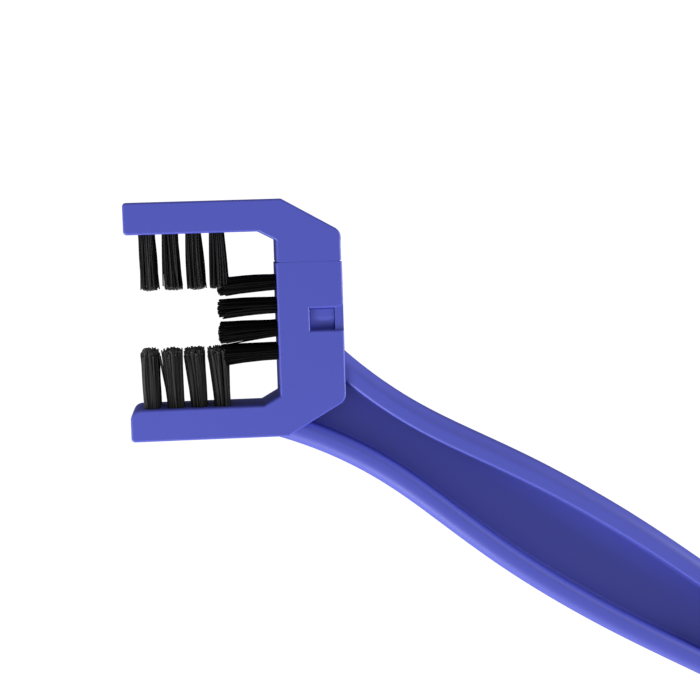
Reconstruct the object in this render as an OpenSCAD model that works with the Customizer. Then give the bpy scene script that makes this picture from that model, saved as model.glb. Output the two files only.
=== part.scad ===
// Three-sided bicycle chain brush with a snap-in upper arm and a gear brush on its tail.
// Millimetres. The tool lies on its back: +Z is up, out of its face, the arms run towards -X
// and the spine stands along Y. The origin is the middle of the spine's back face.

/* [Head] */
// Length of the arms, from the mouth to the outside of the spine
head_w = 58; // [52:0.5:70]
// Height across both arms
head_h = 64; // [60:0.5:76]
// Thickness of the head, front to back
head_t = 20; // [19:0.5:26]
// Thickness of each arm
arm_t = 8.6; // [8:0.1:11]
// Width of the spine
spine_w = 17.7; // [17:0.1:22]
// Length of the sloped outer corner along the arm
slope_x = 15.9; // [8:0.1:17]
// Length of the sloped outer corner along the spine
slope_y = 9.1; // [5:0.1:10]
// Length of the small inner slope along the arm
inner_x = 4.5; // [1:0.1:6]
// Length of the small inner slope along the spine
inner_y = 2.5; // [1:0.1:3]
// Radius where the sloped corner meets the spine
corner_r = 3; // [1:0.1:4]
// Radius of the lower arm's end, on the bristle side
mouth_r = 2.6; // [1:0.1:4]
// Radius of every other corner of the arms' ends
end_r = 1; // [0.4:0.1:2]

/* [Snap joint] */
// Height of the seam across the spine, above the middle of the head
seam_y = 14.9; // [14:0.1:17]
// Gap left at the seam
seam_gap = 0.15; // [0.05:0.05:0.4]
// How much the upper arm's spine is narrower on each side
seam_inset = 0.2; // [0.1:0.05:0.5]
// Width of the tongue that plugs into the spine
tongue_w = 6.4; // [5:0.1:7]
// Length of the tongue below the seam
tongue_l = 19.6; // [18:0.1:21]
// Distance of the tongue's middle from the spine's middle
tongue_off = 3.1; // [2.6:0.1:3.6]
// Wall in front of and behind the socket
socket_wall = 2.2; // [1.6:0.1:3]
// Clearance round the tongue
tongue_fit = 0.2; // [0.1:0.05:0.3]
// Thickness of the spring finger
finger_t = 2.5; // [2:0.1:2.8]
// Room behind the finger for it to bend back
flex_gap = 3.5; // [3.4:0.1:4.5]
// Height of the hook on the finger
hook_h = 1.9; // [1.2:0.1:1.9]
// Length of the hook's flat top
hook_flat = 2.5; // [2.2:0.1:2.7]
// Length of the hook's lead-in ramp
hook_ramp = 2.7; // [2.2:0.1:2.7]
// Top edge of the window, above the middle of the head
window_top = 2.35; // [1.5:0.05:3]
// Height of the window
window_h = 6; // [5.9:0.1:7]
// Clearance between the hook and the window's top edge
hook_fit = 0.35; // [0.3:0.05:0.5]
// Depth of the thumb notch beside the window
notch_t = 0.9; // [0.4:0.1:1.2]

/* [Tufts] */
// Diameter of a tuft where it leaves its hole
tuft_d = 4.2; // [3.6:0.1:4.4]
// Clearance between a tuft and its hole
tuft_fit = 0.1; // [0.05:0.01:0.15]
// Spacing of the tufts along an arm
tuft_pitch = 6.3; // [6:0.1:6.8]
// Spacing of the rows, front to back
row_pitch = 5.8; // [5.6:0.1:6.2]
// Depth of the holes
hole_l = 6; // [5:0.1:6.4]
// Bristle length on the two arms
arm_tuft_l = 15.2; // [10:0.1:17]
// Bristle length in the middle of the spine
spine_tuft_l = 16.2; // [12:0.1:18]
// Gap between the arms' last tufts and the tips of the spine's outer tufts
tuft_gap = 0.7; // [0.5:0.1:2]
// Distance from the arm's end to the first tuft
first_tuft = 5.8; // [5:0.1:7]
// Bristle length on the tail
tail_tuft_l = 25; // [15:0.5:32]
// Tufts along each arm and along the spine
tufts = 4; // [2:1:4]
// Tufts along the tail
tail_tufts = 6; // [3:1:6]

/* [Anchors] */
// Thickness of the anchor wire
anchor_t = 0.35; // [0.25:0.05:0.5]
// Height of the anchor, along the hole
anchor_h = 1.5; // [1:0.1:2]
// How far each end of the anchor bites into the plastic
anchor_bite = 0.3; // [0.1:0.05:0.4]

/* [Grip] */
// Slope of the grip below the arms
grip_angle = 32.5; // [29:0.5:35]
// Distance of the grip's start from the spine's middle line
grip_x = 3.2; // [2:0.1:5]
// Height of the grip's start above the bottom of the head
grip_y = 13.1; // [12:0.1:14]
// Thickness of the grip
grip_t = 19; // [17:0.5:19]
// Width of the neck behind the head
neck_w = 23.4; // [22:0.2:26]
// Distance of the neck from the grip's start
neck_s = 30; // [28:1:36]
// How far the neck's middle lies above the grip's middle line
neck_off = 0.35; // [0:0.05:0.6]
// How much the upper edge flares out at the head
flare_up = 3.6; // [2:0.1:3.8]
// How much the lower edge flares out at the head
flare_low = 4; // [2:0.1:4.1]
// Width of the palm swell
swell_w = 31.6; // [28:0.2:36]
// Distance of the palm swell from the grip's start
swell_s = 94; // [85:1:105]
// Width that the outline narrows to behind the swell
waist_w = 23.6; // [22:0.2:25]
// Distance of that waist from the grip's start
waist_s = 174; // [165:1:185]
// Width of the rims beside the channel
rim_w = 6.3; // [6:0.1:7]
// Radius of the rims' outer edge
rim_r = 3.4; // [2:0.1:3.6]
// Radius of the rims' inner edge
lip_r = 2; // [0.8:0.1:2.2]
// Thickness of the web between the front and back channels
web_t = 4; // [3:0.5:8]
// Distance of the channels' end from the grip's start
channel_end = 148; // [130:1:148]
// Length of the channels' rounded end
channel_nose = 9; // [5:0.5:12]

/* [Tail] */
// Distance of the tail's end from the grip's start
tail_s = 198; // [196:1:215]
// Length of the tail's bristle bar
bar_l = 40; // [40:0.5:44]
// Length of the step down from the grip to the bar
step_l = 10; // [6:0.5:12]
// How far the bar's bristle face lies below the grip's middle line
bar_low = 1; // [0:0.1:3]
// Radius of the bar's long edges
bar_r = 1.5; // [0.8:0.1:1.8]
// Radius of the bar's end
bar_end_r = 4; // [2:0.1:5]
// Spacing of the tail's rows, front to back
tail_row_pitch = 5.4; // [5.2:0.1:5.6]

/* [Hidden] */

blue = [0.29, 0.31, 0.72];
bristle = [0.08, 0.08, 0.085];
steel = [0.72, 0.70, 0.64];

// How far a cutting shape runs past the face that it cuts
overrun = 0.5;
// Half the spine's width: the spine runs from -side to side
side = spine_w/2;
top = head_h/2;
mouth_x = side - head_w;
inner_top = top - arm_t;
mid_z = head_t/2;
hole_r = tuft_d/2 + tuft_fit;

// Fillet steps on a corner of an outline
corner_steps = 6;

function unit(v) = v/norm(v);
function turn(a) = a > 180 ? a - 360 : a < -180 ? a + 360 : a;
function arc_at(b, u, v, r) = let (
        half_angle = acos(u*v)/2,
        o = b + unit(u + v)*r/sin(half_angle),
        p = b + u*r/tan(half_angle) - o,
        q = b + v*r/tan(half_angle) - o,
        start = atan2(p[1], p[0]),
        sweep = turn(atan2(q[1], q[0]) - start)
    ) [for (i = [0:corner_steps]) let (a = start + sweep*i/corner_steps) o + r*[cos(a), sin(a)]];
// An outline whose points are [x, y, radius], with its corners rounded
function rounded(points) = let (n = len(points)) [
    for (i = [0:n - 1]) let (
            b = [points[i][0], points[i][1]],
            a = [points[(i + n - 1)%n][0], points[(i + n - 1)%n][1]],
            c = [points[(i + 1)%n][0], points[(i + 1)%n][1]]
        )
        each points[i][2] == 0 ? [b] : arc_at(b, unit(a - b), unit(c - b), points[i][2])
];
// Runs smoothly from one value to another as t goes from 0 to 1
function ease(a, b, t) = a + (b - a)*(1 - cos(180*min(1, max(0, t))))/2;

// The plan of the two mouldings
sharp = 0;
upper_side = side - seam_inset;
upper_outline = rounded([
    [mouth_x, top, end_r],
    [side - slope_x, top, end_r],
    [side, top - slope_y, corner_r],
    [upper_side, top - slope_y - corner_r, sharp],
    [upper_side, seam_y + seam_gap, sharp],
    [-upper_side, seam_y + seam_gap, sharp],
    [-upper_side, inner_top - inner_y, sharp],
    [-side - inner_x, inner_top, sharp],
    [mouth_x, inner_top, end_r]
]);
lower_outline = rounded([
    [-side, seam_y, sharp],
    [side, seam_y, sharp],
    [side, slope_y - top, corner_r],
    [side - slope_x, -top, end_r],
    [mouth_x, -top, end_r],
    [mouth_x, -inner_top, mouth_r],
    [-side - inner_x, -inner_top, sharp],
    [-side, inner_y - inner_top, sharp]
]);

// The tongue, its socket and the spring finger
tongue_front = head_t - socket_wall - tongue_fit;
tongue_back = socket_wall + tongue_fit;
tongue_end = seam_y - tongue_l;
finger_back = tongue_front - finger_t;
bar_front = finger_back - flex_gap;
pivot_z = tongue_front - finger_t/2;
pivot_y = seam_y - finger_t;
root_gap = 0.1;
socket_w = tongue_w + 2*tongue_fit;
socket_end = tongue_end - 3*tongue_fit;
hook_top = window_top - hook_fit;
hook_z = tongue_front + hook_h;
lead_in = finger_t/3;

// Tufts: the rows' heights, and the places along each side
row_shares = [-1, 0, 1];
function row_z(row) = mid_z + row*row_pitch;
function arm_x(i) = mouth_x + first_tuft + i*tuft_pitch;
function spine_y(i) = (i - (tufts - 1)/2)*tuft_pitch;
// The outer spine tufts end short of the arms' last tufts, which stand in front of their tips
splay_share = 1.2;
last_tuft_edge = arm_x(tufts - 1) + splay_share*tuft_d/2;
outer_tuft_l = -side - last_tuft_edge - tuft_gap;
function spine_len(i) = abs(spine_y(i)) + splay_share*tuft_d/2 + tuft_gap > inner_top - arm_tuft_l
    ? min(outer_tuft_l, spine_tuft_l) : spine_tuft_l;

// Tail tufts, along the bar's bristle face
bar_s = tail_s - bar_l;
bar_mid_z = grip_t/2;
function tail_x(i) = bar_s + bar_l/2 + (i - (tail_tufts - 1)/2)*tuft_pitch;

// One tuft: a nine-sided root, whose top holds seven three-sided bristles between six gaps
root_sides = 9;
inner_share = 0.4;
tip_share = 0.62;
wobble_share = 0.05;
jag_share = 0.035;
root_l = hole_l - tuft_fit;
function on_circle(r, a) = [r*cos(a), r*sin(a)];
// Points 0 to 8 stand on the rim and 9 to 11 inside it
lattice = [
    for (k = [0:root_sides - 1]) on_circle(1, 30 + 360*k/root_sides),
    for (k = [0:2]) on_circle(inner_share, 90 + 360*k/3)
];
function strand_corners() = [
    [2, 3, 9], [1, 9, 0], [3, 4, 10], [9, 10, 11], [0, 11, 8], [10, 5, 6], [11, 6, 7]
];
function gap_corners() = [[1, 2, 9], [3, 10, 9], [9, 11, 0], [4, 5, 10], [10, 6, 11], [11, 7, 8]];
// A steady spread of numbers between -1 and 1
golden_share = 0.618034;
function spread(k) = 2*(k*golden_share - floor(k*golden_share)) - 1;
function tip_points(points, l, k) = let (
        c = (points[0] + points[1] + points[2])/3,
        tip = c*splay_share + tuft_d*wobble_share*[spread(k), spread(k + 5)],
        z = l*(1 - jag_share*(1 + spread(k + 11)))
    ) [for (p = points) let (q = tip + (p - c)*tip_share) [q[0], q[1], z]];

module tuft_body(l, seed) {
    strands = strand_corners();
    ring = [for (p = lattice) p*tuft_d/2];
    base = len(lattice);
    bottom = base + 3*len(strands);
    points = [
        for (p = ring) [p[0], p[1], 0],
        for (j = [0:len(strands) - 1])
            each tip_points([for (v = strands[j]) ring[v]], l, seed + j),
        for (k = [0:root_sides - 1]) [ring[k][0], ring[k][1], -root_l]
    ];
    faces = [
        for (g = gap_corners()) [g[2], g[1], g[0]],
        for (j = [0:len(strands) - 1], e = [0:2]) let (
                a = strands[j][e],
                b = strands[j][(e + 1)%3],
                c = base + 3*j + e,
                d = base + 3*j + (e + 1)%3
            ) each [[b, a, c], [b, c, d]],
        for (j = [0:len(strands) - 1]) let (c = base + 3*j) [c + 2, c + 1, c],
        for (k = [0:root_sides - 1]) let (n = (k + 1)%root_sides)
            each [[k, n, bottom + n], [k, bottom + n, bottom + k]],
        for (k = [1:root_sides - 2]) [bottom, bottom + k, bottom + k + 1]
    ];
    polyhedron(points, faces, convexity = 6);
}

// The anchor lies across the fold, a wire's height above the root's end
module anchor_shape(l) {
    translate([-l/2, -anchor_t/2, anchor_h/2 - root_l]) cube([l, anchor_t, anchor_h]);
}

module tuft(l, seed) {
    difference() {
        tuft_body(l, seed);
        anchor_shape(tuft_d + 2*overrun);
    }
}

module anchor() {
    anchor_shape(2*(hole_r + anchor_bite));
}

module tuft_hole() {
    translate([0, 0, -hole_l]) cylinder(h = hole_l + overrun, r = hole_r, $fn = 32);
    anchor();
}

// Frames at the mouth of each hole: +Z leaves the hole, and X runs along the object's Z
module at_upper(i, row) {
    translate([arm_x(i), inner_top, row_z(row)]) rotate([90, 0, 0]) rotate([0, 0, 90]) children();
}
module at_lower(i, row) {
    translate([arm_x(i), -inner_top, row_z(row)]) rotate([-90, 0, 0]) rotate([0, 0, 90]) children();
}
module at_spine(i, row) {
    translate([-side, spine_y(i), row_z(row)]) rotate([0, -90, 0]) children();
}
module at_grip() {
    translate([-grip_x, grip_y - top, 0]) rotate([0, 0, -grip_angle]) children();
}
module at_tail(i, row) {
    at_grip() translate([tail_x(i), -bar_low, bar_mid_z + row*tail_row_pitch])
        rotate([90, 0, 0]) rotate([0, 0, 90]) children();
}

// The grip's outline at a distance s along it: half its width, which swells early behind the neck
early_share = 0.35;
function early(t) = t + early_share*t*(1 - t);
function wave(s) = s < swell_s
    ? ease(neck_w/2, swell_w/2, early((s - neck_s)/(swell_s - neck_s)))
    : ease(swell_w/2, waist_w/2, (s - swell_s)/(waist_s - swell_s));
function bend(s) = ease(neck_off, 0, (s - neck_s)/(swell_s - neck_s));
function flare(s) = s < neck_s ? pow(1 - s/neck_s, 2) : 0;
// How far a rounded end has drawn in, at a distance d from it
function draw_in(d, r) = d > r ? 0 : r - sqrt(r*r - (r - d)*(r - d));
// Where its two edges lie, above and below its middle line
function edge_up(s) = bend(s) + wave(s) + flare_up*flare(s) - draw_in(tail_s - s, bar_end_r);
function edge_low(s) = bend(s) + draw_in(tail_s - s, bar_end_r)
    - ease(wave(s) + flare_low*flare(s), bar_low, (s - bar_s + step_l)/step_l);
function edge_r(s) = ease(rim_r, bar_r, (s - bar_s + step_l)/step_l);

// The channels follow both edges, and have a rounded end towards the tail
flat_share = 0.08;
function nose(s) = let (t = max(0, (s - channel_end + channel_nose)/channel_nose))
    t >= 1 ? flat_share : max(flat_share, sqrt(1 - t*t));
function channel_half(s) = let (c = min(s, channel_end)) nose(c)*((edge_up(c) - edge_low(c))/2 - rim_w);
function channel_mid(s) = (edge_up(s) + edge_low(s))/2;
channel_t = (grip_t - web_t)/2;
// The channels are closed off inside the head, where the grip starts
function channel_depth(s) = s == 0 || s > channel_end ? 0 : channel_t;

// A section of the grip, drawn anticlockwise in [across, up]
edge_steps = 5;
lip_steps = 3;
function quarter(c, r, a, steps) = [for (i = [0:steps]) c + on_circle(r, a + 90*i/steps)];
function channel_side(m, w, d, z, up) = let (lip = d > 0 ? lip_r : 0) up > 0
    ? [for (p = quarter([m + w + lip, z - lip], lip, 90, lip_steps)) p, [m + w, z - d]]
    : [[m - w, z - d], for (p = quarter([m - w - lip, z - lip], lip, 0, lip_steps)) p];
function top_channel(m, w, d, z) = d > 0
    ? concat(channel_side(m, w, d, z, 1), channel_side(m, w, d, z, -1))
    : [for (i = [0:2*lip_steps + 3]) [m + w*(1 - 2*i/(2*lip_steps + 3)), z]];
function flip(points, z) = [for (p = points) [-p[0], z - p[1]]];
function section(s) = let (
        u = edge_up(s), l = edge_low(s), r = edge_r(s), m = channel_mid(s), w = channel_half(s),
        lift = draw_in(tail_s - s, bar_r), z0 = lift, z1 = grip_t - lift, d = channel_depth(s)
    ) concat(
        quarter([u - r, z1 - r], r, 0, edge_steps),
        top_channel(m, w, d, z1),
        quarter([l + r, z1 - r], r, 90, edge_steps),
        quarter([l + r, z0 + r], r, 180, edge_steps),
        flip(top_channel(-m, w, d, z1), grip_t),
        quarter([u - r, z0 + r], r, 270, edge_steps)
    );
// Places of the sections along the grip: closer at the head, the channel's end and the tail
function steps_between(a, b, n) = [for (i = [0:n - 1]) a + (b - a)*i/n];
end_wall = 0.4;
stations = concat(
    steps_between(0, neck_s, 6),
    steps_between(neck_s, channel_end - channel_nose, 15),
    [for (a = [0:15:75]) channel_end - channel_nose*(1 - sin(a))],
    [channel_end - channel_nose*(1 - sin(84)), channel_end, channel_end + end_wall],
    steps_between(channel_end + 2*end_wall, bar_s, 8),
    [bar_s],
    [for (a = [0:15:90]) tail_s - bar_end_r*(1 - sin(a))]
);

module grip() {
    rings = [for (s = stations) section(s)];
    n = len(rings[0]);
    m = len(rings);
    points = [
        for (i = [0:m - 1], p = rings[i]) [stations[i], p[0], p[1]],
        for (s = [stations[0], stations[m - 1]]) [s, channel_mid(s), grip_t/2]
    ];
    faces = [
        for (k = [0:n - 1]) [k, (k + 1)%n, m*n],
        for (i = [0:m - 2], k = [0:n - 1]) let (a = i*n + k, b = i*n + (k + 1)%n)
            each [[a, b + n, b], [a, a + n, b + n]],
        for (k = [0:n - 1]) [(m - 1)*n + (k + 1)%n, (m - 1)*n + k, m*n + 1]
    ];
    at_grip() polyhedron(points, faces, convexity = 8);
}

// The thumb notch widens upwards from the window to the spine's outer edge
notch_flare = window_h/6;
module window() {
    x = tongue_off + socket_w/2;
    low = window_top - window_h;
    translate([tongue_off - socket_w/2, low, head_t - socket_wall - overrun])
        cube([socket_w, window_h, socket_wall + 2*overrun]);
    translate([0, 0, head_t - notch_t]) linear_extrude(notch_t + overrun) polygon([
        [x - overrun, low], [side + overrun, low],
        [side + overrun, window_top + notch_flare], [(x + side)/2, window_top + notch_flare/4],
        [x - overrun, window_top]
    ]);
}

module socket() {
    translate([tongue_off - socket_w/2, socket_end, socket_wall])
        cube([socket_w, seam_y + overrun - socket_end, head_t - 2*socket_wall]);
}

module handle() color(blue) difference() {
    union() {
        linear_extrude(head_t) polygon(lower_outline);
        grip();
    }
    socket();
    window();
    for (row = row_shares, i = [0:tufts - 1]) {
        at_lower(i, row) tuft_hole();
        at_spine(i, row) tuft_hole();
    }
    for (row = row_shares, i = [0:tail_tufts - 1]) at_tail(i, row) tuft_hole();
}

// Side view of the tongue, as [y, z]: a full-depth root block, then the back bar alone
module tongue() {
    translate([tongue_off + tongue_w/2, 0, 0]) rotate([0, -90, 0]) linear_extrude(tongue_w)
        polygon([
            [tongue_back, seam_y + overrun], [tongue_front, seam_y + overrun],
            [tongue_front, pivot_y], [bar_front, pivot_y], [bar_front, tongue_end + lead_in],
            [bar_front - lead_in, tongue_end], [tongue_back + lead_in, tongue_end],
            [tongue_back, tongue_end + lead_in]
        ]);
}

module finger_pivot(r, l) {
    translate([tongue_off - l/2, pivot_y, pivot_z]) rotate([0, 90, 0]) cylinder(h = l, r = r, $fn = 32);
}

module upper_arm() color(blue) difference() {
    union() {
        linear_extrude(head_t) polygon(upper_outline);
        tongue();
    }
    finger_pivot(finger_t/2 + root_gap, tongue_w + 2*overrun);
    for (row = row_shares, i = [0:tufts - 1]) at_upper(i, row) tuft_hole();
}

module latch_finger() color(blue) {
    finger_pivot(finger_t/2, tongue_w);
    translate([tongue_off + tongue_w/2, 0, 0]) rotate([0, -90, 0]) linear_extrude(tongue_w) polygon([
        [finger_back, pivot_y], [tongue_front, pivot_y], [tongue_front, hook_top],
        [hook_z, hook_top], [hook_z, hook_top - hook_flat],
        [tongue_front, hook_top - hook_flat - hook_ramp],
        [tongue_front, tongue_end + lead_in], [tongue_front - lead_in, tongue_end],
        [finger_back, tongue_end]
    ]);
}

module upper_tufts(row) color(bristle)
    for (i = [0:tufts - 1]) at_upper(i, row) tuft(arm_tuft_l, 7*i + 31*row);
module spine_tufts(row) color(bristle)
    for (i = [0:tufts - 1]) at_spine(i, row) tuft(spine_len(i), 7*i + 37*row + 3);
module lower_tufts(row) color(bristle)
    for (i = [0:tufts - 1]) at_lower(i, row) tuft(arm_tuft_l, 7*i + 41*row + 5);
module tail_tufts_row(row) color(bristle)
    for (i = [0:tail_tufts - 1]) at_tail(i, row) tuft(tail_tuft_l, 7*i + 43*row + 9);

module upper_anchors(row) color(steel) for (i = [0:tufts - 1]) at_upper(i, row) anchor();
module spine_anchors(row) color(steel) for (i = [0:tufts - 1]) at_spine(i, row) anchor();
module lower_anchors(row) color(steel) for (i = [0:tufts - 1]) at_lower(i, row) anchor();
module tail_anchors(row) color(steel) for (i = [0:tail_tufts - 1]) at_tail(i, row) anchor();

handle();
upper_arm();
latch_finger();
upper_tufts(1);  // upper_arm_tufts_front
upper_tufts(0);  // upper_arm_tufts_middle
upper_tufts(-1);  // upper_arm_tufts_back
spine_tufts(1);  // spine_tufts_front
spine_tufts(0);  // spine_tufts_middle
spine_tufts(-1);  // spine_tufts_back
lower_tufts(1);  // lower_arm_tufts_front
lower_tufts(0);  // lower_arm_tufts_middle
lower_tufts(-1);  // lower_arm_tufts_back
tail_tufts_row(1);  // tail_tufts_front
tail_tufts_row(0);  // tail_tufts_middle
tail_tufts_row(-1);  // tail_tufts_back
upper_anchors(1);  // upper_arm_anchors_front
upper_anchors(0);  // upper_arm_anchors_middle
upper_anchors(-1);  // upper_arm_anchors_back
spine_anchors(1);  // spine_anchors_front
spine_anchors(0);  // spine_anchors_middle
spine_anchors(-1);  // spine_anchors_back
lower_anchors(1);  // lower_arm_anchors_front
lower_anchors(0);  // lower_arm_anchors_middle
lower_anchors(-1);  // lower_arm_anchors_back
tail_anchors(1);  // tail_anchors_front
tail_anchors(0);  // tail_anchors_middle
tail_anchors(-1);  // tail_anchors_back
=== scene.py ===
"""Looks of the three-sided chain brush: moulded plastic, filament tufts, floor, lights and camera.

Shapes are worked out in millimetres, in the frame of the CAD model, and turned into metres
when a mesh is made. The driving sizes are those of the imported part, but the seam's gap, the
snap hook, the fine roundings and the tufts' spread and length follow the photograph.
"""

import math
import random

import bpy
from mathutils import Matrix, Vector


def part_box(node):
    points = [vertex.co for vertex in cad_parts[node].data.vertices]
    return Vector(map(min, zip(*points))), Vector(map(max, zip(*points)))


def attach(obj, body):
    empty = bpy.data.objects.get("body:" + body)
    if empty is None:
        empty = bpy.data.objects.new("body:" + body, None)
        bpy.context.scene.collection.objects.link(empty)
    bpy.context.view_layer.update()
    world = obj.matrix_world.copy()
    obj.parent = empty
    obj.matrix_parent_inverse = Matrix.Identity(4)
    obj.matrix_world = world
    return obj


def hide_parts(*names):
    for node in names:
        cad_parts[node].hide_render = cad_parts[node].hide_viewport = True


MM = 0.001

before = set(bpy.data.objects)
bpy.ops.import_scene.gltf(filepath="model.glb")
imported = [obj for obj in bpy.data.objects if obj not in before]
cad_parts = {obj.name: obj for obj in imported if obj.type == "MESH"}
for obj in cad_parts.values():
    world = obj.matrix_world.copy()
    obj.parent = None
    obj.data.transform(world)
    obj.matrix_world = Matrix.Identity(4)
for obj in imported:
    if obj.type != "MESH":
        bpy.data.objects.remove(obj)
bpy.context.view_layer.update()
arm_low, arm_high = [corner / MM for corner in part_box("upper_arm")]

# Camera, found from the corners of the head in the photograph, in millimetres and radians
LENS, SENSOR_W = 83.42, 36
CAMERA_PLACE = Vector((-26.33, 26.98, 454.24))
CAMERA_TURN = (-0.0803, -0.0865, -0.0300)

# Head
HEAD_T = arm_high.z
TOP = arm_high.y
MOUTH_X = arm_low.x
ARM_T = 8.6
INNER_TOP = TOP - ARM_T
SIDE = 8.85
SLOPE_X, SLOPE_Y = 15.9, 9.1
INNER_X, INNER_Y = 4.5, 2.5
CORNER_R, MOUTH_R, END_R, CREASE_R = 3.0, 2.6, 1.0, 0.35
RIM, SEAM_RIM, WINDOW_RIM = 0.6, 0.02, 0.6

# Seam: its gap is shut in the middle, opens steadily from two places that lie as far in from
# the sides as named here, and ends in a small nick on each side
SEAM_Y, SEAM_INSET = 14.9, 0.2
SEAM_SHUT, SEAM_OPEN = 0.003, 0.03
OPENS_LEFT, OPENS_RIGHT = 5.0, 8.0
NICK_L, NICK_H = 0.7, 0.16

# Snap joint
TONGUE_W, TONGUE_L, TONGUE_OFF, TONGUE_FIT, TONGUE_RIM = 6.4, 19.6, 3.1, 0.2, 0.2
SOCKET_WALL = 2.2
FINGER_T, FLEX_GAP, ROOT_GAP, ROOT_CLEAR = 2.5, 3.5, 0.1, 0.05
FINGER_R, FINGER_RIM = 0.3, 0.2
HOOK_H, HOOK_FLAT, HOOK_RAMP, HOOK_FIT, HOOK_EXTRA_W = 1.3, 2.5, 3.2, 0.04, 0.24
HOOK_TOP_R, HOOK_EDGE_R, HOOK_BEND_R = 0.1, 0.3, 2.4
WINDOW_TOP, WINDOW_H, NOTCH_T, NOTCH_RISE = 2.35, 6.0, 0.9, 1.0

TONGUE_FRONT = HEAD_T - SOCKET_WALL - TONGUE_FIT
TONGUE_BACK = SOCKET_WALL + TONGUE_FIT
TONGUE_END = SEAM_Y - TONGUE_L
FINGER_BACK = TONGUE_FRONT - FINGER_T
BAR_FRONT = FINGER_BACK - FLEX_GAP
LEAD_IN = FINGER_T / 3
PIVOT_Y, PIVOT_Z = SEAM_Y - FINGER_T, TONGUE_FRONT - FINGER_T / 2

# Tufts and their holes
TUFT_D, TUFT_FIT, HOLE_L, HOLE_RIM = 4.2, 0.1, 6.0, 0.2
TUFT_PITCH, ROW_PITCH, FIRST_TUFT = 6.3, 5.8, 5.8
ARM_TUFT_L, LOWER_EXTRA_L, SPINE_TUFT_L, TAIL_TUFT_L = 15.2, 0.5, 16.2, 25.0
TUFTS, TAIL_TUFTS = 4, 6
ROWS = {"front": 1, "middle": 0, "back": -1}

# Grip and tail: an S is a distance along the grip, from its root inside the head
GRIP_ANGLE, GRIP_X, GRIP_Y, GRIP_T = 32.5, 3.2, 13.1, 19.0
NECK_W, NECK_S, NECK_OFF = 23.4, 30.0, 0.35
FLARE_UP, FLARE_LOW = 3.6, 4.0
SWELL_W, SWELL_S, EARLY = 31.6, 94.0, 0.35
WAIST_W, WAIST_S = 23.6, 174.0
RIM_W, RIM_R, WEB_T = 6.3, 3.4, 4.0
UPPER_LIP_R, LOWER_LIP_R, FOOT_R = 0.9, 2.0, 0.9
CHANNEL_END, CHANNEL_NOSE, CHANNEL_CLOSES, NOSE_SHARE = 148.0, 9.0, 0.4, 0.08
TAIL_S, BAR_L, STEP_L, BAR_LOW = 198.0, 40.0, 10.0, 1.0
BAR_R, BAR_END_R, TAIL_ROW_PITCH = 1.5, 4.0, 5.4

# How finely round forms are drawn: a corner rounded by more than WIDE_R gets more steps, and
# the turns are in degrees
WIDE_R, WIDE_STEPS, SMALL_STEPS = 0.8, 10, 4
RIM_STEPS, LIP_STEPS, NOTCH_STEPS = 8, 5, 8
FLARE_RINGS, GRIP_RINGS, STEP_RINGS = 16, 50, 16
NOSE_TURN, END_TURN, ROOT_TURN = 6, 9, 15

# How far a cutter runs past a face, a hair's breadth, and the sine of a bend under which two
# edges count as one
OVERRUN = 0.5
HAIR = 0.01
STRAIGHT = 0.02


def camera():
    """The photograph's viewpoint."""
    data = bpy.data.cameras.new("camera")
    data.lens = LENS
    data.sensor_width = SENSOR_W
    cam = bpy.data.objects.new("camera", data)
    cam.location = CAMERA_PLACE * MM
    cam.rotation_euler = CAMERA_TURN
    bpy.context.scene.collection.objects.link(cam)
    bpy.context.scene.camera = cam


def add_mesh(name, points, faces, material):
    mesh = bpy.data.meshes.new(name)
    mesh.from_pydata([Vector(p) * MM for p in points], [], faces)
    mesh.materials.append(material)
    mesh.validate()
    obj = bpy.data.objects.new(name, mesh)
    bpy.context.scene.collection.objects.link(obj)
    return obj


# Outlines and solids


def polar(radius, angle):
    return radius * Vector((math.cos(angle), math.sin(angle)))


def arc_corner(before, corner, after, radius, steps):
    """Points of the fillet that rounds one corner of an outline."""
    b = Vector(corner)
    u = (Vector(before) - b).normalized()
    v = (Vector(after) - b).normalized()
    half = math.acos(max(-1, min(1, u.dot(v)))) / 2
    centre = b + (u + v).normalized() * radius / math.sin(half)
    start = b + u * radius / math.tan(half) - centre
    end = b + v * radius / math.tan(half) - centre
    a = math.atan2(start.y, start.x)
    sweep = (math.atan2(end.y, end.x) - a + math.pi) % (2 * math.pi) - math.pi
    return [centre + polar(radius, a + sweep * i / steps) for i in range(steps + 1)]


def rounded_outline(corners):
    """corners are (x, y, radius), and a radius of 0 leaves the corner sharp."""
    n = len(corners)
    out = []
    for i, (x, y, radius) in enumerate(corners):
        if not radius:
            out.append(Vector((x, y)))
            continue
        steps = WIDE_STEPS if radius > WIDE_R else SMALL_STEPS
        out += arc_corner(corners[i - 1][:2], (x, y), corners[(i + 1) % n][:2], radius, steps)
    return out


def inset(outline, distances):
    """Moves each edge of an anticlockwise outline inwards by its own distance."""
    n = len(outline)
    moved = []
    for i, p in enumerate(outline):
        e0 = (p - outline[i - 1]).normalized()
        e1 = (outline[(i + 1) % n] - p).normalized()
        n0, n1 = Vector((-e0.y, e0.x)), Vector((-e1.y, e1.x))
        d0, d1 = distances[i - 1], distances[i]
        cross = n0.x * n1.y - n0.y * n1.x
        if abs(cross) < STRAIGHT:
            moved.append(p + (n0 + n1).normalized() * (d0 + d1) / 2)
        else:
            moved.append(p + Vector((d0 * n1.y - d1 * n0.y, d1 * n0.x - d0 * n1.x)) / cross)
    return moved


def skin(rings):
    """Points and faces of a closed solid, from rings of equal length that run along it."""
    n, m = len(rings[0]), len(rings)
    faces = [tuple(reversed(range(n)))]
    for i in range(m - 1):
        for k in range(n):
            a, b = i * n + k, i * n + (k + 1) % n
            faces.append((a, b, b + n, a + n))
    faces.append(tuple((m - 1) * n + k for k in range(n)))
    return [p for ring in rings for p in ring], faces


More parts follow.
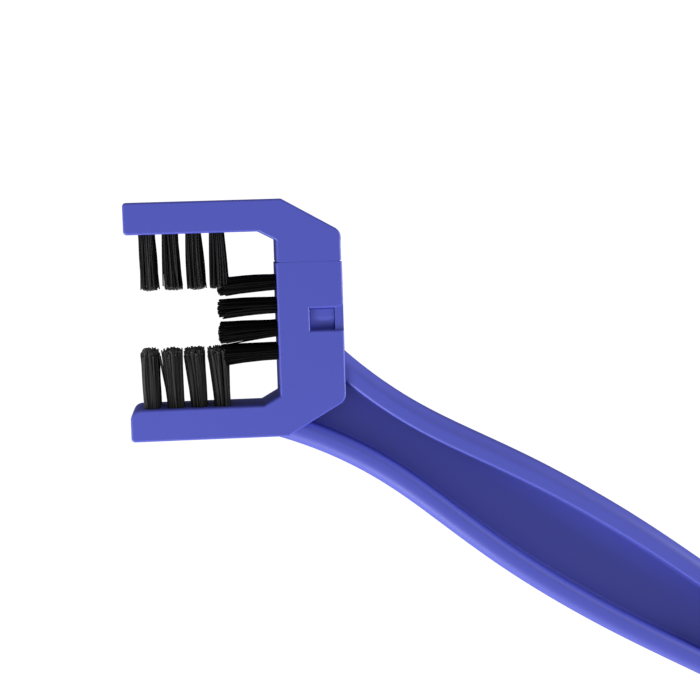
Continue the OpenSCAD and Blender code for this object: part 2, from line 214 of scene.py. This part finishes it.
def rounded_prism(outline, z0, z1, rims, steps=4):
    """An outline drawn out along Z, with its two rims rounded by a radius for each edge."""
    widest = max(rims)
    rings = []
    for level, way in ((z0, 1), (z1, -1)):
        angles = [math.pi / 2 * k / steps for k in range(steps + 1)]
        for a in reversed(angles) if way > 0 else angles:
            ring = inset(outline, [r * (1 - math.cos(a)) for r in rims])
            z = level + way * widest * (1 - math.sin(a))
            rings.append([(p.x, p.y, z) for p in ring])
    return skin(rings)


def flared_cut(outline, z0, z1, rim, steps=4):
    """A cutter along Z, which rounds the edge that it leaves in the face at z1."""
    rings = [[(p.x, p.y, z0) for p in outline]]
    for k in range(steps + 1):
        a = math.pi / 2 * k / steps
        grown = inset(outline, [-rim * (1 - math.cos(a))] * len(outline))
        rings.append([(p.x, p.y, z1 - rim + rim * math.sin(a)) for p in grown])
    rings.append([(x, y, z1 + OVERRUN) for x, y, _ in rings[-1]])
    return skin(rings)


def box_outline(x0, y0, x1, y1):
    return [Vector(p) for p in ((x0, y0), (x1, y0), (x1, y1), (x0, y1))]


def circle_outline(radius, steps=32):
    return [polar(radius, 2 * math.pi * k / steps) for k in range(steps)]


def placed(solid, matrix):
    points, faces = solid
    return [matrix @ Vector(p) for p in points], faces


# Frames at the mouth of each hole: +Z leaves the hole


def arm_x(i):
    return MOUTH_X + FIRST_TUFT + i * TUFT_PITCH


def spine_y(i):
    return (i - (TUFTS - 1) / 2) * TUFT_PITCH


def row_z(row):
    return HEAD_T / 2 + row * ROW_PITCH


def at(place, x_axis, z_axis):
    """A frame at a place, with its X and Z along two directions."""
    x, z = Vector(x_axis), Vector(z_axis)
    y = z.cross(x)
    rotation = Matrix((x, y, z)).transposed().to_4x4()
    return Matrix.Translation(Vector(place)) @ rotation


GRIP_TURN = Matrix.Rotation(math.radians(-GRIP_ANGLE), 4, "Z")
GRIP_FRAME = Matrix.Translation((-GRIP_X, GRIP_Y - TOP, 0)) @ GRIP_TURN


def mouth_frame(side, i, row):
    """X of the frame runs along the side that carries the tufts."""
    if side == "upper_arm":
        return at((arm_x(i), INNER_TOP, row_z(row)), (1, 0, 0), (0, -1, 0))
    if side == "lower_arm":
        return at((arm_x(i), -INNER_TOP, row_z(row)), (1, 0, 0), (0, 1, 0))
    if side == "spine":
        return at((-SIDE, spine_y(i), row_z(row)), (0, 1, 0), (-1, 0, 0))
    s = TAIL_S - BAR_L / 2 + (i - (TAIL_TUFTS - 1) / 2) * TUFT_PITCH
    return GRIP_FRAME @ at((s, -BAR_LOW, GRIP_T / 2 + row * TAIL_ROW_PITCH), (1, 0, 0), (0, -1, 0))


def holes(side):
    count = TAIL_TUFTS if side == "tail" else TUFTS
    shape = flared_cut(circle_outline(TUFT_D / 2 + TUFT_FIT), -HOLE_L, 0, HOLE_RIM)
    return [placed(shape, mouth_frame(side, i, row)) for row in ROWS.values() for i in range(count)]


# The grip


def ease(a, b, t):
    return a + (b - a) * (1 - math.cos(math.pi * min(1, max(0, t)))) / 2


def wave(s):
    """Half the grip's width, which swells early behind the neck."""
    if s < SWELL_S:
        t = (s - NECK_S) / (SWELL_S - NECK_S)
        return ease(NECK_W / 2, SWELL_W / 2, t + EARLY * t * (1 - t))
    return ease(SWELL_W / 2, WAIST_W / 2, (s - SWELL_S) / (WAIST_S - SWELL_S))


def bend(s):
    """How far the grip's middle line lies to one side, near the neck."""
    return ease(NECK_OFF, 0, (s - NECK_S) / (SWELL_S - NECK_S))


def flare(s):
    """The share of its widening that the grip has near the head."""
    return (1 - s / NECK_S) ** 2 if s < NECK_S else 0


def draw_in(d, r):
    """How far a rounded end has drawn in, at a distance d from it."""
    return 0 if d > r else r - math.sqrt(max(0, r * r - (r - d) ** 2))


def edge_up(s):
    return bend(s) + wave(s) + FLARE_UP * flare(s) - draw_in(TAIL_S - s, BAR_END_R)


def edge_low(s):
    t = (s - TAIL_S + BAR_L + STEP_L) / STEP_L
    return bend(s) + draw_in(TAIL_S - s, BAR_END_R) - ease(wave(s) + FLARE_LOW * flare(s), BAR_LOW, t)


def edge_r(s):
    return ease(RIM_R, BAR_R, (s - TAIL_S + BAR_L + STEP_L) / STEP_L)


def channel_half(s):
    """Half the channel's width, which draws in to a rounded end."""
    s = min(s, CHANNEL_END)
    t = max(0, (s - CHANNEL_END + CHANNEL_NOSE) / CHANNEL_NOSE)
    nose = max(NOSE_SHARE, math.sqrt(max(0, 1 - t * t)))
    return nose * ((edge_up(s) - edge_low(s)) / 2 - RIM_W)


def quarter(centre, r, start, steps):
    """A quarter of a circle, anticlockwise from an angle in degrees."""
    x, y = centre
    angles = [math.radians(start + 90 * k / steps) for k in range(steps + 1)]
    return [(x + r * math.cos(a), y + r * math.sin(a)) for a in angles]


def channel_points(mid, half, depth, z):
    """From the upper rim's inner lip, down into the channel and up to the lower rim's."""
    foot = min(FOOT_R, half / 2) if depth > 0 else 0
    sides = []
    for lip_r in (UPPER_LIP_R, LOWER_LIP_R):
        lip = lip_r if depth > 0 else 0
        side = quarter((mid + half + lip, z - lip), lip, 90, LIP_STEPS)
        side += reversed(quarter((mid + half - foot, z - depth + foot), foot, 270, LIP_STEPS))
        sides.append(side)
    upper, lower = sides
    return upper + [(2 * mid - x, y) for x, y in reversed(lower)]


def section(s):
    """The grip's outline across itself, the same in front and behind."""
    u, low, r = edge_up(s), edge_low(s), edge_r(s)
    mid, half = (u + low) / 2, channel_half(s)
    lift = draw_in(TAIL_S - s, BAR_R)
    z0, z1 = lift, GRIP_T - lift
    depth = (GRIP_T - WEB_T) / 2 if 0 < s <= CHANNEL_END else 0
    front = channel_points(mid, half, depth, z1)
    back = [(x, GRIP_T - y) for x, y in reversed(front)]
    return (
        quarter((u - r, z1 - r), r, 0, RIM_STEPS)
        + front
        + quarter((low + r, z1 - r), r, 90, RIM_STEPS)
        + quarter((low + r, z0 + r), r, 180, RIM_STEPS)
        + back
        + quarter((u - r, z0 + r), r, 270, RIM_STEPS)
    )


def grip_stations():
    """Where the rings of the grip lie: close together where its form changes fast."""
    bar_s, nose_s = TAIL_S - BAR_L, CHANNEL_END - CHANNEL_NOSE
    step_s = CHANNEL_END + 2 * CHANNEL_CLOSES
    nose = [1 - math.sin(math.radians(a)) for a in range(0, 90, NOSE_TURN)]
    end = [1 - math.sin(math.radians(a)) for a in range(0, 91, END_TURN)]
    out = [NECK_S * k / FLARE_RINGS for k in range(FLARE_RINGS)]
    out += [NECK_S + (nose_s - NECK_S) * k / GRIP_RINGS for k in range(GRIP_RINGS)]
    out += [CHANNEL_END - CHANNEL_NOSE * share for share in nose]
    out += [CHANNEL_END, CHANNEL_END + CHANNEL_CLOSES]
    out += [step_s + (bar_s - step_s) * k / STEP_RINGS for k in range(STEP_RINGS + 1)]
    out += [TAIL_S - BAR_END_R * share for share in end]
    return out


def grip_solid():
    rings = [[(s, across, z) for across, z in section(s)] for s in grip_stations()]
    return placed(skin(rings), GRIP_FRAME)


# The two mouldings and the latch


def lower_outline():
    return rounded_outline(
        [
            (NICK_L - SIDE, SEAM_Y, 0),
            (-SIDE, SEAM_Y - NICK_H, 0),
            (-SIDE, INNER_Y - INNER_TOP, CREASE_R),
            (-SIDE - INNER_X, -INNER_TOP, CREASE_R),
            (MOUTH_X, -INNER_TOP, MOUTH_R),
            (MOUTH_X, -TOP, END_R),
            (SIDE - SLOPE_X, -TOP, END_R),
            (SIDE, SLOPE_Y - TOP, CORNER_R),
            (SIDE, SEAM_Y - NICK_H, 0),
            (SIDE - NICK_L, SEAM_Y, 0),
        ]
    )


def upper_outline():
    half = SIDE - SEAM_INSET
    return rounded_outline(
        [
            (half - OPENS_RIGHT, SEAM_Y + SEAM_SHUT, 0),
            (half - NICK_L, SEAM_Y + SEAM_OPEN, 0),
            (half, SEAM_Y + SEAM_OPEN + NICK_H, 0),
            (half, TOP - SLOPE_Y - CORNER_R, 0),
            (SIDE, TOP - SLOPE_Y, CORNER_R),
            (SIDE - SLOPE_X, TOP, END_R),
            (MOUTH_X, TOP, END_R),
            (MOUTH_X, INNER_TOP, END_R),
            (-SIDE - INNER_X, INNER_TOP, CREASE_R),
            (-half, INNER_TOP - INNER_Y, CREASE_R),
            (-half, SEAM_Y + SEAM_OPEN + NICK_H, 0),
            (NICK_L - half, SEAM_Y + SEAM_OPEN, 0),
            (OPENS_LEFT - half, SEAM_Y + SEAM_SHUT, 0),
        ]
    )


def head_solid(outline):
    """The rims are rounded all round, but the seam stays crisp."""
    n = len(outline)
    rims = []
    for i, p in enumerate(outline):
        q = outline[(i + 1) % n]
        on_seam = max(abs(p.y - SEAM_Y), abs(q.y - SEAM_Y)) < SEAM_OPEN + NICK_H + HAIR
        rims.append(SEAM_RIM if on_seam else RIM)
    return rounded_prism(outline, 0, HEAD_T, rims)


def window_cutters():
    """The hook's window, and the shallow notch that leads from it to the side."""
    half = TONGUE_W / 2 + TONGUE_FIT
    x0, x1 = TONGUE_OFF - half, TONGUE_OFF + half
    low = WINDOW_TOP - WINDOW_H
    inside = HEAD_T - SOCKET_WALL - OVERRUN
    window = flared_cut(box_outline(x0, low, x1, WINDOW_TOP), inside, HEAD_T, WINDOW_RIM)
    run = SIDE + OVERRUN - x1
    shares = [k / NOTCH_STEPS for k in range(NOTCH_STEPS + 1)]
    edge = [(x1 + run * t, WINDOW_TOP + NOTCH_RISE * t * t) for t in shares]
    notch = [(x1 - OVERRUN, low), (SIDE + OVERRUN, low), *reversed(edge), (x1 - OVERRUN, WINDOW_TOP)]
    return window, flared_cut([Vector(p) for p in notch], HEAD_T - NOTCH_T, HEAD_T, WINDOW_RIM)


def socket_cutter():
    half = TONGUE_W / 2 + TONGUE_FIT
    end = SEAM_Y - TONGUE_L - 3 * TONGUE_FIT
    outline = box_outline(TONGUE_OFF - half, end, TONGUE_OFF + half, SEAM_Y + OVERRUN)
    return skin([[(p.x, p.y, z) for p in outline] for z in (SOCKET_WALL, HEAD_T - SOCKET_WALL)])


# Turns a shape that is drawn out along Z so that it runs along X, with its outline in Y and Z
ALONG_X = Matrix(((0, 0, 1), (1, 0, 0), (0, 1, 0))).to_4x4()


def side_profile(profile, width, rim):
    """A profile in Y and Z drawn out along X, centred on the tongue, with rounded rims."""
    outline = [Vector(p) for p in profile]
    x0, x1 = TONGUE_OFF - width / 2, TONGUE_OFF + width / 2
    return placed(rounded_prism(outline, x0, x1, [rim] * len(outline), steps=3), ALONG_X)


def tongue_solid():
    root = SEAM_Y + OVERRUN
    profile = [
        (root, TONGUE_BACK),
        (root, TONGUE_FRONT),
        (PIVOT_Y, TONGUE_FRONT),
        (PIVOT_Y, BAR_FRONT),
        (TONGUE_END + LEAD_IN, BAR_FRONT),
        (TONGUE_END, BAR_FRONT - LEAD_IN),
        (TONGUE_END, TONGUE_BACK + LEAD_IN),
        (TONGUE_END + LEAD_IN, TONGUE_BACK),
    ]
    return side_profile(profile, TONGUE_W, TONGUE_RIM)


def latch_solid():
    """The spring finger, whose rounded root turns in the tongue, with its hook."""
    top = WINDOW_TOP - HOOK_FIT
    hook_z = TONGUE_FRONT + HOOK_H
    corners = [
        (top, TONGUE_FRONT, HOOK_TOP_R),
        (top, hook_z, HOOK_EDGE_R),
        (top - HOOK_FLAT, hook_z, HOOK_BEND_R),
        (top - HOOK_FLAT - HOOK_RAMP, TONGUE_FRONT, FINGER_R),
        (TONGUE_END + LEAD_IN, TONGUE_FRONT, FINGER_R),
        (TONGUE_END, TONGUE_FRONT - LEAD_IN, FINGER_R),
        (TONGUE_END, FINGER_BACK, FINGER_RIM),
        (PIVOT_Y, FINGER_BACK, 0),
        (PIVOT_Y, TONGUE_FRONT, 0),
    ]
    body = [(p.x, p.y) for p in rounded_outline(corners) if p.x < PIVOT_Y - ROOT_CLEAR]
    r = FINGER_T / 2
    turns = [math.radians(a) for a in range(0, 181, ROOT_TURN)]
    root = [(PIVOT_Y + r * math.sin(a), PIVOT_Z - r * math.cos(a)) for a in turns]
    return side_profile(body + root, TONGUE_W + HOOK_EXTRA_W, FINGER_RIM)


def finger_seat():
    """The groove in the tongue that the finger's root turns in."""
    half = TONGUE_W / 2 + OVERRUN
    circle = circle_outline(FINGER_T / 2 + ROOT_GAP)
    solid = skin([[(p.x, p.y, z) for p in circle] for z in (-half, half)])
    return placed(solid, Matrix.Translation((TONGUE_OFF, PIVOT_Y, PIVOT_Z)) @ ALONG_X)


def joined(solids):
    points, faces = [], []
    for solid_points, solid_faces in solids:
        start = len(points)
        points += solid_points
        faces += [tuple(v + start for v in face) for face in solid_faces]
    return points, faces


def applied(obj):
    """Replaces an object's mesh with what its modifiers make of it."""
    depsgraph = bpy.context.evaluated_depsgraph_get()
    made = bpy.data.meshes.new_from_object(obj.evaluated_get(depsgraph))
    obj.modifiers.clear()
    obj.data = made


def cut_or_join(obj, solids, operation):
    """Adds or cuts solids that may lie in each other's way."""
    tool = add_mesh("tool", *joined(solids), obj.data.materials[0])
    modifier = obj.modifiers.new("boolean", "BOOLEAN")
    modifier.operation = operation
    modifier.solver = "EXACT"
    modifier.object = tool
    applied(obj)
    bpy.data.objects.remove(tool)


def finish_shading(obj, angle=32):
    """Forms shade smoothly, but edges that turn by more than the angle stay crisp."""
    obj.data.shade_smooth()
    obj.data.set_sharp_from_angle(angle=math.radians(angle))
    weighted = obj.modifiers.new("weighted", "WEIGHTED_NORMAL")
    weighted.keep_sharp = True
    weighted.weight = 100
    applied(obj)


def handle_moulding(material):
    obj = add_mesh("handle_moulding", *head_solid(lower_outline()), material)
    window, notch = window_cutters()
    cut_or_join(obj, [grip_solid()], "UNION")
    cut_or_join(obj, [socket_cutter()], "DIFFERENCE")
    cut_or_join(obj, [window], "DIFFERENCE")
    cut_or_join(obj, [notch], "DIFFERENCE")
    cut_or_join(obj, holes("lower_arm") + holes("spine") + holes("tail"), "DIFFERENCE")
    finish_shading(obj)
    return obj


def upper_moulding(material):
    obj = add_mesh("upper_arm_moulding", *head_solid(upper_outline()), material)
    cut_or_join(obj, [tongue_solid()], "UNION")
    cut_or_join(obj, [finger_seat()] + holes("upper_arm"), "DIFFERENCE")
    finish_shading(obj)
    return obj


def latch_moulding(material):
    obj = add_mesh("latch_hook", *latch_solid(), material)
    finish_shading(obj)
    return obj


# Tufts

# A tuft has this many filaments, which start as deep in its hole as BURIED
FILAMENTS = 80
FILAMENT_R = 0.2
FILAMENT_SIDES = 5
BURIED = 3.0
SEED = 11

LENGTHS = {
    "upper_arm": ARM_TUFT_L,
    "lower_arm": ARM_TUFT_L + LOWER_EXTRA_L,
    "spine": SPINE_TUFT_L,
    "tail": TAIL_TUFT_L,
}
# For each tuft of a side, from its first: how far its tips lean along the side, in mm, and how
# many times its root's width they spread
LEANS = {
    "upper_arm": [(0.4, 1.12), (0.5, 1.22), (0.5, 1.22), (0.45, 1.36)],
    "lower_arm": [(-0.4, 1.22), (-0.6, 1.34), (-0.85, 1.46), (-0.9, 1.5)],
    "spine": [(-0.6, 1.28), (-1.0, 1.42), (-0.55, 1.30), (-0.9, 1.22)],
    "tail": [(0.1, 1.08), (-0.2, 1.1), (0.15, 1.06), (0.0, 1.1), (-0.1, 1.08), (0.0, 1.1)],
}
# How many times its root's width a tuft has just outside its hole
ROOT_SPREAD = {"upper_arm": 1.05, "lower_arm": 1.13, "spine": 1.0, "tail": 1.0}
# How unevenly filaments end, and how much shorter the outer ones are, as shares of the length
JAG = {"upper_arm": 0.07, "lower_arm": 0.12, "spine": 0.13, "tail": 0.06}
DOME = {"upper_arm": 0.02, "lower_arm": 0.03, "spine": 0.05, "tail": 0.02}
# Above 1, so most filaments end near the full length
JAG_POWER = 1.8
# How far a tip wanders and a filament bows, in mm, and how unevenly filaments stand round the
# tuft, in radians
WANDER = {"upper_arm": 0.2, "lower_arm": 0.24, "spine": 0.2, "tail": 0.12}
BOW = 0.12
UNEVEN = 0.15
# Above 1, so a tuft spreads faster towards its tips
SPREAD_POWER = 1.25
# Where the rings of a filament lie along it: the last stretch has the tip's colour, with its painted
# highlights
RING_SHARES = [0.0, 0.2, 0.4, 0.6, 0.8, 0.98, 1.0]
# Two bristles that lie together stray from the lower arm's second tuft: the path of one in the
# tuft's frame, and how far the other lies from it
STRAY_TUFT = 1
STRAY_PATH = [(-1.9, 0, -3.0), (-1.95, 0.2, 0.0), (-2.5, 0.3, 5.3), (-3.3, 0.3, 10.0), (-4.0, 0.2, 14.2)]
STRAY_TWIN = Vector((0.3, 0.2, 0))


def filament(path, tone, mesh_parts):
    """A tube along a path, with its cut end in the second material."""
    points, faces, slots, tones = mesh_parts
    base, rings, sides = len(points), len(path), FILAMENT_SIDES
    for k, p in enumerate(path):
        ahead = path[min(k + 1, rings - 1)] - path[max(k - 1, 0)]
        frame_x = ahead.orthogonal().normalized()
        frame_y = ahead.normalized().cross(frame_x)
        for j in range(sides):
            a = 2 * math.pi * j / sides
            points.append(p + FILAMENT_R * (math.cos(a) * frame_x + math.sin(a) * frame_y))
    for k in range(rings - 1):
        for j in range(sides):
            a, b = base + k * sides + j, base + k * sides + (j + 1) % sides
            faces.append((a, b, b + sides, a + sides))
            slots.append(1 if k == rings - 2 else 0)
    faces.append(tuple(base + (rings - 1) * sides + j for j in range(sides)))
    slots.append(1)
    faces.append(tuple(base + j for j in reversed(range(sides))))
    slots.append(0)
    tones += [tone] * (rings * sides)


def tuft(matrix, side, lean, spread, rng, mesh_parts):
    """Filaments set in a spiral, so that they fill the hole evenly."""
    golden = math.pi * (3 - math.sqrt(5))
    for i in range(FILAMENTS):
        r = math.sqrt((i + 0.5) / FILAMENTS)
        a = golden * i + rng.uniform(-UNEVEN, UNEVEN)
        root = Vector((math.cos(a), math.sin(a), 0)) * r * (TUFT_D / 2 - FILAMENT_R)
        wander = Vector((rng.gauss(0, WANDER[side]), rng.gauss(0, WANDER[side]), 0))
        outside = root * ROOT_SPREAD[side]
        tip = root * spread + Vector((lean, 0, 0)) + wander
        reach = LENGTHS[side] * (1 - JAG[side] * rng.random() ** JAG_POWER - DOME[side] * r * r)
        bow = Vector((rng.gauss(0, BOW), rng.gauss(0, BOW), 0))
        path = [matrix @ (root - Vector((0, 0, BURIED)))]
        for t in RING_SHARES:
            side_step = outside.lerp(tip, t**SPREAD_POWER) + bow * math.sin(math.pi * t)
            path.append(matrix @ (side_step + Vector((0, 0, reach * t))))
        filament(path, rng.random(), mesh_parts)


def tuft_row(side, row_name, materials, rng):
    parts = ([], [], [], [])
    for i, (lean, spread) in enumerate(LEANS[side]):
        matrix = mouth_frame(side, i, ROWS[row_name])
        tuft(matrix, side, lean, spread, rng, parts)
        if (side, row_name, i) == ("lower_arm", "front", STRAY_TUFT):
            filament([matrix @ Vector(p) for p in STRAY_PATH], 0.0, parts)
            filament([matrix @ (Vector(p) + STRAY_TWIN) for p in STRAY_PATH], 0.0, parts)
    points, faces, slots, tones = parts
    obj = add_mesh(f"{side}_bristles_{row_name}", points, faces, materials[0])
    obj.data.materials.append(materials[1])
    obj.data.polygons.foreach_set("material_index", slots)
    attribute = obj.data.attributes.new("tone", "FLOAT", "POINT")
    attribute.data.foreach_set("value", tones)
    finish_shading(obj, angle=70)
    return obj


# Materials

BLUE_DEEP, BLUE_LIGHT = (0.058, 0.071, 0.440), (0.063, 0.078, 0.468)
# Filament tips: near black, and a grey for their painted highlights
END_DARK, TIP_HIGHLIGHT_GREY = (0.010, 0.010, 0.011), (0.085, 0.085, 0.088)
WIRE_GREY = (0.55, 0.54, 0.50)

# The nylon of each side: its name, the tones of its darkest and lightest bristle, and its sheen. All
# sides are the same black nylon. The arms' lighter tones and stronger sheen are painted light and painted
# highlight, and the spine's darker, duller ones are painted shade
NYLON_LIGHT_AND_SHADE = {
    "upper_arm": ("nylon_upper_painted_light", (0.005, 0.005, 0.0052), (0.014, 0.014, 0.015), 0.14),
    "lower_arm": ("nylon_lower_painted_light", (0.002, 0.002, 0.0022), (0.055, 0.053, 0.053), 0.3),
    "spine": ("nylon_spine_painted_shade", (0.0055, 0.0055, 0.0055), (0.0075, 0.0073, 0.0073), 0.03),
    "tail": ("nylon_tail", (0.002, 0.002, 0.0022), (0.014, 0.014, 0.015), 0.18),
}


def node_material(name):
    material = bpy.data.materials.new(name)
    material.use_nodes = True
    tree = material.node_tree
    return material, tree, tree.nodes["Principled BSDF"]


def noise(tree, coordinates, scale, detail):
    node = tree.nodes.new("ShaderNodeTexNoise")
    node.inputs["Scale"].default_value = scale
    node.inputs["Detail"].default_value = detail
    tree.links.new(coordinates.outputs["Object"], node.inputs["Vector"])
    return node.outputs["Fac"]


def ramp(tree, source, low, high, start=0):
    """Maps values between the start and 1 to those between low and high."""
    node = tree.nodes.new("ShaderNodeMapRange")
    node.inputs["From Min"].default_value = start
    node.inputs["To Min"].default_value = low
    node.inputs["To Max"].default_value = high
    tree.links.new(source, node.inputs["Value"])
    return node.outputs["Result"]


def mixed(tree, factor, a, b):
    node = tree.nodes.new("ShaderNodeMix")
    node.data_type = "RGBA"
    tree.links.new(factor, node.inputs["Factor"])
    node.inputs["A"].default_value = (*a, 1)
    node.inputs["B"].default_value = (*b, 1)
    return node.outputs["Result"]


def bump(tree, height, strength, distance):
    node = tree.nodes.new("ShaderNodeBump")
    node.inputs["Strength"].default_value = strength
    node.inputs["Distance"].default_value = distance
    tree.links.new(height, node.inputs["Height"])
    return node.outputs["Normal"]


def moulded_plastic():
    """Blue polypropylene with faint flow clouds, a fine spark-eroded grain and uneven gloss."""
    material, tree, shader = node_material("moulded_plastic")
    coordinates = tree.nodes.new("ShaderNodeTexCoord")
    clouds = noise(tree, coordinates, scale=45, detail=3)
    grain = noise(tree, coordinates, scale=3200, detail=2)
    gloss = noise(tree, coordinates, scale=260, detail=4)
    tree.links.new(mixed(tree, clouds, BLUE_DEEP, BLUE_LIGHT), shader.inputs["Base Color"])
    tree.links.new(ramp(tree, gloss, low=0.42, high=0.54), shader.inputs["Roughness"])
    tree.links.new(bump(tree, grain, strength=0.12, distance=0.00003), shader.inputs["Normal"])
    shader.inputs["IOR"].default_value = 1.55
    return material


def filament_nylon(name, dark, light, sheen):
    """Black nylon: each filament has its own tone. The dark and light tones and the sheen are set per
    side as painted light and shade.
    """
    material, tree, shader = node_material(name)
    tone = tree.nodes.new("ShaderNodeAttribute")
    tone.attribute_name = "tone"
    colour = mixed(tree, tone.outputs["Fac"], dark, light)
    tree.links.new(colour, shader.inputs["Base Color"])
    shader.inputs["Roughness"].default_value = 0.5
    shader.inputs["Specular IOR Level"].default_value = sheen
    return material


def tip_highlights():
    """Ends of filaments: near black, with grey speckles that are painted highlights where the tips catch
    the light.
    """
    material, tree, shader = node_material("tip_highlights")
    coordinates = tree.nodes.new("ShaderNodeTexCoord")
    speckle = noise(tree, coordinates, scale=2600, detail=1)
    tree.links.new(mixed(tree, speckle, END_DARK, TIP_HIGHLIGHT_GREY), shader.inputs["Base Color"])
    shader.inputs["Roughness"].default_value = 0.7
    return material


def drawn_wire():
    """Bright wire, duller in streaks."""
    material, tree, shader = node_material("drawn_wire")
    coordinates = tree.nodes.new("ShaderNodeTexCoord")
    streaks = noise(tree, coordinates, scale=900, detail=3)
    tree.links.new(ramp(tree, streaks, low=0.25, high=0.5), shader.inputs["Roughness"])
    shader.inputs["Base Color"].default_value = (*WIRE_GREY, 1)
    shader.inputs["Metallic"].default_value = 1.0
    return material


# Stage

# Brightness of the paper and of the backdrop, just past full white
WHITE = 1.05
FLOOR_HALF, FLOOR_Z = 3000.0, -0.2

# For each light: its place and its two sizes in metres, and its power in watts. Both are
# turned to one spot
LIGHTS = {
    "key": ((-0.36, -0.36, 0.2), (0.5, 0.12), 3.4),
    "edge": ((1.2, 0.0, 0.22), (0.7, 0.35), 16.0),
}
LIT_SPOT = (0.03, -0.03, 0.01)

# How bright the surroundings are, from straight below (0) through level (0.5) to straight above (1)
SKY = [(0.0, 0.03), (0.06, 0.05), (0.2, 0.7), (0.5, 0.85), (0.62, 0.66), (0.75, 0.5), (1.0, 0.5)]
# The side towards which they are brighter, and by what share; the far side is as much darker
BRIGHT_SIDE = (-0.5, -0.866, 0.0)
SIDE_SHARE = 0.55


def floor():
    """White paper that glows evenly, so no shadow shows on it. It sends no light to the part."""
    corners = [(x * FLOOR_HALF, y * FLOOR_HALF, FLOOR_Z) for x, y in ((-1, -1), (1, -1), (1, 1), (-1, 1))]
    material, _, shader = node_material("floor_paper")
    shader.inputs["Base Color"].default_value = (0, 0, 0, 1)
    shader.inputs["Specular IOR Level"].default_value = 0.0
    shader.inputs["Emission Color"].default_value = (1, 1, 1, 1)
    shader.inputs["Emission Strength"].default_value = WHITE
    obj = add_mesh("floor", corners, [(0, 1, 2, 3)], material)
    obj.visible_diffuse = False
    obj.visible_glossy = False


def area_light(name, place, size, power):
    data = bpy.data.lights.new(name, "AREA")
    data.shape = "RECTANGLE"
    data.size, data.size_y = size
    data.energy = power
    obj = bpy.data.objects.new(name, data)
    obj.location = place
    obj.rotation_euler = (Vector(LIT_SPOT) - Vector(place)).to_track_quat("-Z", "Y").to_euler()
    bpy.context.scene.collection.objects.link(obj)


def sky_shade(tree, direction):
    """Grey by the height of a direction, along the stops of SKY."""
    axes = tree.nodes.new("ShaderNodeSeparateXYZ")
    tree.links.new(direction, axes.inputs[0])
    shades = tree.nodes.new("ShaderNodeValToRGB")
    stops = shades.color_ramp.elements
    stops[0].position, stops[1].position = SKY[0][0], SKY[-1][0]
    for place, _ in SKY[1:-1]:
        stops.new(place)
    for stop, (_, shade) in zip(stops, SKY):
        stop.color = (shade, shade, shade, 1)
    tree.links.new(ramp(tree, axes.outputs["Z"], low=0, high=1, start=-1), shades.inputs["Fac"])
    return shades.outputs["Color"]


def side_strength(tree, direction):
    """Strength by how far a direction points to the bright side."""
    toward = tree.nodes.new("ShaderNodeVectorMath")
    toward.operation = "DOT_PRODUCT"
    toward.inputs[1].default_value = BRIGHT_SIDE
    tree.links.new(direction, toward.inputs[0])
    return ramp(tree, toward.outputs["Value"], low=1 - SIDE_SHARE, high=1 + SIDE_SHARE, start=-1)


def surroundings():
    """They light the part, and past the floor's edge a picture shows plain white instead."""
    world = bpy.data.worlds.new("studio")
    bpy.context.scene.world = world
    world.use_nodes = True
    tree = world.node_tree
    background = tree.nodes["Background"]
    direction = tree.nodes.new("ShaderNodeTexCoord").outputs["Generated"]
    tree.links.new(sky_shade(tree, direction), background.inputs["Color"])
    tree.links.new(side_strength(tree, direction), background.inputs["Strength"])
    backdrop = tree.nodes.new("ShaderNodeBackground")
    backdrop.inputs["Color"].default_value = (1, 1, 1, 1)
    backdrop.inputs["Strength"].default_value = WHITE
    rays = tree.nodes.new("ShaderNodeLightPath")
    mix = tree.nodes.new("ShaderNodeMixShader")
    tree.links.new(rays.outputs["Is Camera Ray"], mix.inputs[0])
    tree.links.new(background.outputs[0], mix.inputs[1])
    tree.links.new(backdrop.outputs[0], mix.inputs[2])
    tree.links.new(mix.outputs[0], tree.nodes["World Output"].inputs["Surface"])
    bpy.context.scene.view_settings.view_transform = "Standard"


def stand_in(obj, body, slot, *nodes):
    """An object rides on a body and shows in the place of CAD nodes."""
    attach(obj, body)
    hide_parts(*nodes)


camera()

plastic = moulded_plastic()
stand_in(handle_moulding(plastic), "handle_body", "blue_plastic", "handle")
stand_in(upper_moulding(plastic), "upper_arm_body", "blue_plastic", "upper_arm")
stand_in(latch_moulding(plastic), "latch_body", "blue_plastic", "latch_finger")

ends = tip_highlights()
chance = random.Random(SEED)
for side, look in NYLON_LIGHT_AND_SHADE.items():
    # Each side gets its own copy of the nylon, lightened or darkened by painted light and shade
    nylon = filament_nylon(*look)
    # The spine's tips stay plain nylon, without painted highlights
    tips = nylon if side == "spine" else ends
    body = "upper_arm_body" if side == "upper_arm" else "handle_body"
    for row_name in ROWS:
        row = tuft_row(side, row_name, (nylon, tips), chance)
        stand_in(row, body, "bristle", f"{side}_tufts_{row_name}")

wire = drawn_wire()
for name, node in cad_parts.items():
    if "_anchors_" in name:
        node.data.materials.clear()
        node.data.materials.append(wire)

floor()
for name, (place, size, power) in LIGHTS.items():
    area_light(name, place, size, power)
surroundings()
